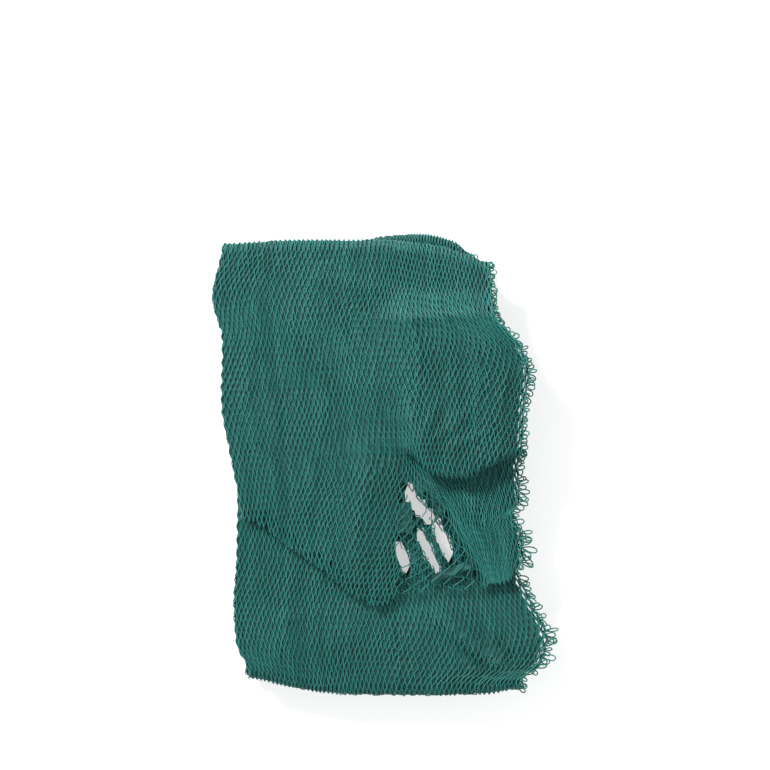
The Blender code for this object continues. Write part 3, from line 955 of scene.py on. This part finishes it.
def finish_twines(tree, curve, into, out):
    """Gives curves their thickness, their UV along and round the twine, and their material."""
    nodes, link = tree.nodes, tree.links.new
    girth = nodes.new("GeometryNodeInputNamedAttribute")
    girth.data_type = "FLOAT"
    girth.inputs["Name"].default_value = "girth"
    half = nodes.new("ShaderNodeMath")
    half.operation = "MULTIPLY"
    link(girth.outputs["Attribute"], half.inputs[0])
    link(into.outputs["Twine thickness"], half.inputs[1])
    radius = nodes.new("ShaderNodeMath")
    radius.operation = "MULTIPLY"
    link(half.outputs[0], radius.inputs[0])
    radius.inputs[1].default_value = 0.5
    walked = nodes.new("GeometryNodeSplineParameter")
    keep_walked = nodes.new("GeometryNodeCaptureAttribute")
    keep_walked.capture_items.new("FLOAT", "walked")
    link(curve, keep_walked.inputs["Geometry"])
    link(walked.outputs["Length"], keep_walked.inputs["walked"])
    ring = nodes.new("GeometryNodeCurvePrimitiveCircle")
    link(into.outputs["Sides"], ring.inputs["Resolution"])
    ring.inputs["Radius"].default_value = 1.0
    round_it = nodes.new("GeometryNodeSplineParameter")
    keep_round = nodes.new("GeometryNodeCaptureAttribute")
    keep_round.capture_items.new("FLOAT", "round")
    link(ring.outputs["Curve"], keep_round.inputs["Geometry"])
    link(round_it.outputs["Factor"], keep_round.inputs["round"])
    to_mesh = nodes.new("GeometryNodeCurveToMesh")
    to_mesh.inputs["Fill Caps"].default_value = True
    link(keep_walked.outputs["Geometry"], to_mesh.inputs["Curve"])
    link(keep_round.outputs["Geometry"], to_mesh.inputs["Profile Curve"])
    link(radius.outputs[0], to_mesh.inputs["Scale"])
    uv = nodes.new("ShaderNodeCombineXYZ")
    link(keep_walked.outputs["walked"], uv.inputs["X"])
    link(keep_round.outputs["round"], uv.inputs["Y"])
    store = nodes.new("GeometryNodeStoreNamedAttribute")
    store.data_type = "FLOAT2"
    store.domain = "CORNER"
    store.inputs["Name"].default_value = "twine"
    link(to_mesh.outputs["Mesh"], store.inputs["Geometry"])
    link(uv.outputs[0], store.inputs["Value"])
    shade = nodes.new("GeometryNodeSetShadeSmooth")
    link(store.outputs["Geometry"], shade.inputs["Geometry"])
    realize = nodes.new("GeometryNodeRealizeInstances")
    link(shade.outputs["Geometry"], realize.inputs["Geometry"])
    paint = nodes.new("GeometryNodeSetMaterial")
    link(realize.outputs["Geometry"], paint.inputs["Geometry"])
    link(into.outputs["Material"], paint.inputs["Material"])
    link(paint.outputs["Geometry"], out.inputs[0])


TWINES_TREE, TWINES_INPUTS = twines_tree()


def made_by_tree(name, points, edges, attributes, tree, inputs):
    """Runs a tree on points and edges, and returns the result as a plain mesh object."""
    mesh = bpy.data.meshes.new(f"{name}_chains")
    mesh.from_pydata(points.tolist(), edges.tolist(), [])
    for label, values in attributes.items():
        attribute = mesh.attributes.new(label, "FLOAT", "POINT")
        attribute.data.foreach_set("value", values)
    source = bpy.data.objects.new(f"{name}_source", mesh)
    bpy.context.scene.collection.objects.link(source)
    modifier = source.modifiers.new("tree", "NODES")
    modifier.node_group = tree
    for identifier, value in inputs.items():
        modifier[identifier] = value
    bpy.context.view_layer.update()
    graph = bpy.context.evaluated_depsgraph_get()
    result = bpy.data.meshes.new_from_object(source.evaluated_get(graph), depsgraph=graph)
    result.name = name
    bpy.data.objects.remove(source)
    bpy.data.meshes.remove(mesh)
    piece = bpy.data.objects.new(name, result)
    bpy.context.scene.collection.objects.link(piece)
    result.calc_loop_triangles()
    print(f"{name}: {len(result.loop_triangles)} triangles")
    return piece


# %% Build every piece of twines
def twine_piece(name, material, sides, two_points):
    points, edges, tone, girth = chains(name, two_points)
    attributes = {"tone": tone, "girth": girth}
    inputs = {
        TWINES_INPUTS["Twine thickness"]: TWINE * MM,
        TWINES_INPUTS["Sides"]: sides,
        TWINES_INPUTS["Material"]: material,
    }
    return made_by_tree(name, points, edges, attributes, TWINES_TREE, inputs)


# Rows: piece, material, sides of a twine, whether its joints are flattened.
TWINE_PIECES = (
    ("net_top_ply", TOP_TWINE, 4, True),
    ("net_second_ply", SHADED_TWINE, 3, False),
    ("net_lower_panel", TOP_TWINE, 4, True),
    ("net_lower_second_ply", SHADED_TWINE, 3, False),
    ("net_fold_turns", TOP_TWINE, 3, True),
    ("net_fold_second_ply", SHADED_TWINE, 3, False),
    ("net_first_end", SHADED_TWINE, 3, False),
    ("net_left_edge", TOP_TWINE, 3, False),
    ("net_right_edge", TOP_TWINE, 3, False),
)
twine_pieces = [twine_piece(*row) for row in TWINE_PIECES]

# %% [markdown]
# ## The looped selvedge
#
# Each of the net's two selvedges ends in a row of slack loops, and both lie along the packet's right
# side. Small rings would do for a neat fringe, but slack twine hangs as a teardrop, which two sines draw.
# Its length, lean and lift vary by chance from one loop to the next, and a table names the places where
# the fringe hangs longer. The same tree gives the loops their thickness.

# %% Loops along the right edge
LOOP_SPACING = 1.9
LOOP_LENGTHS = (2.2, 4.6)         # shortest and longest, where the edge is plain
LOOP_WIDTH = 1.5
LOOP_POINTS = 13
LOOP_LEAN = (-0.35, 0.5)          # mean and spread, radians from +X
LOOP_DEPTH = 0.9                  # of either selvedge, from the middle of the ribbon
LOOP_ROOT = 0.8                   # how far inside the edge a loop starts
LOOP_ROLL = 0.6                   # most that a loop tips, as rise for each millimetre of its width
LOOP_WIDTHS = (0.6, 1.2)          # least and greatest, as shares of LOOP_WIDTH
LOOP_TONES = (-0.2, 0.3)
LOOP_GIRTH = 1.25
LOOP_SIDES = 5
LONGER_SHARES = (0.3, 1.0)        # least and greatest share of the extra length below
LOWEST_TWINE = 0.3
# Places where the loops hang longer. Rows: y, half height, extra length.
LONG_LOOPS = ((-40, 17, 3.6), (-86, 19, 3.4), (-15, 8, 2.4), (112, 6, 2.0))


def selvedge_loops():
    chance = np.random.default_rng(77)
    along = np.arange(LOOP_SPACING, RIBBON_LENGTH - LOOP_SPACING, LOOP_SPACING)
    base, to_end, _ = ribbon(along, np.ones(len(along)))
    base = base[to_end > 1]
    count = len(base)
    longer = sum(extra * np.exp(-((base[:, 1] - y) / half) ** 2) for y, half, extra in LONG_LOOPS)
    length = chance.uniform(*LOOP_LENGTHS, count)
    length = length + longer * chance.uniform(*LONGER_SHARES, count)
    lean = chance.normal(*LOOP_LEAN, count)
    roll = chance.uniform(-LOOP_ROLL, LOOP_ROLL, count)
    width = LOOP_WIDTH * chance.uniform(*LOOP_WIDTHS, count)
    way = np.linspace(0, 1, LOOP_POINTS)
    out = length[:, None] * (1 - np.cos(2 * np.pi * way)) / 2 - LOOP_ROOT
    side = width[:, None] * np.sin(2 * np.pi * way) * np.sin(np.pi * way)
    turn_x, turn_y = np.cos(lean)[:, None], np.sin(lean)[:, None]
    x = base[:, :1] + out * turn_x - side * turn_y
    y = base[:, 1:2] + out * turn_y + side * turn_x
    depth = np.where(np.arange(count) % 2 == 0, LOOP_DEPTH, -LOOP_DEPTH)[:, None]
    z = base[:, 2:] + depth + side * roll[:, None]
    points = np.stack([x, y, np.maximum(z, LOWEST_TWINE)], axis=-1)
    number = np.arange(count * LOOP_POINTS).reshape(count, LOOP_POINTS)
    edges = np.stack([number[:, :-1].ravel(), number[:, 1:].ravel()], axis=-1)
    tone = np.repeat(chance.uniform(*LOOP_TONES, count), LOOP_POINTS)
    attributes = {"tone": tone, "girth": np.full(len(tone), LOOP_GIRTH)}
    inputs = {
        TWINES_INPUTS["Twine thickness"]: TWINE * MM,
        TWINES_INPUTS["Sides"]: LOOP_SIDES,
        TWINES_INPUTS["Material"]: EDGE_TWINE,
    }
    flat = to_frame(points).reshape(-1, 3)
    return made_by_tree("net_selvedge_loops", flat, edges, attributes, TWINES_TREE, inputs)


twine_pieces.append(selvedge_loops())

# %% [markdown]
# ## The surface and the light
#
# The packet lies on a white table lit from beneath, as small goods are often shown. On a plain white
# table the slits would look grey, because hardly any light falls into them. A soft lamp from above the
# packet's top left models the folds, and a weaker and wider one opens the shadows.

# %% White table
TABLE_HALF = 1.6
TABLE_GLOW = 0.55


def table():
    half = TABLE_HALF
    corners = [(-half, -half, 0), (half, -half, 0), (half, half, 0), (-half, half, 0)]
    mesh = bpy.data.meshes.new("white_table")
    mesh.from_pydata(corners, [], [(0, 1, 2, 3)])
    surface = bpy.data.objects.new("white_table", mesh)
    bpy.context.scene.collection.objects.link(surface)
    material = bpy.data.materials.new("white_table")
    material.use_nodes = True
    shader = material.node_tree.nodes["Principled BSDF"]
    shader.inputs["Base Color"].default_value = (0.86, 0.86, 0.86, 1)
    shader.inputs["Roughness"].default_value = 0.7
    shader.inputs["Emission Color"].default_value = (1, 1, 1, 1)
    shader.inputs["Emission Strength"].default_value = TABLE_GLOW
    mesh.materials.append(material)
    return surface


floor = table()
print("table", 2 * TABLE_HALF, "m wide")


# %% Soft lamps and a pale room
def soft_lamp(name, place, aim, size, power):
    data = bpy.data.lights.new(name, "AREA")
    data.shape = "DISK"
    data.size = size
    data.energy = power
    lamp = bpy.data.objects.new(name, data)
    lamp.location = place
    direction = np.array(aim) - np.array(place)
    yaw, flat = np.arctan2(direction[1], direction[0]), np.hypot(direction[0], direction[1])
    lamp.rotation_euler = (0, -np.arctan2(flat, -direction[2]), yaw)
    bpy.context.scene.collection.objects.link(lamp)


soft_lamp("key_lamp", (-0.75, 0.85, 0.75), (0, 0, 0), 0.4, 24.0)
soft_lamp("fill_lamp", (0.9, -0.5, 0.9), (0, 0, 0), 0.9, 5.0)
world = bpy.data.worlds.new("pale_room")
world.use_nodes = True
world.node_tree.nodes["Background"].inputs["Color"].default_value = (1, 1, 1, 1)
world.node_tree.nodes["Background"].inputs["Strength"].default_value = 0.35
bpy.context.scene.world = world
bpy.context.scene.view_settings.view_transform = "Standard"
print("lamps:", [item.name for item in bpy.data.lights])

# %% [markdown]
# ## Handing the pieces to the frame
#
# Every piece rides on the packet's only body and stands for its one solid. Spread square, the net is one
# metre each way. Drawn together as they lie here, its meshes are narrow and tall, and the same net measures
# 0.54 by 1.24 m.

for piece in [inner_cloth, *twine_pieces]:
    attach(piece, "root")
    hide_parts("netting")
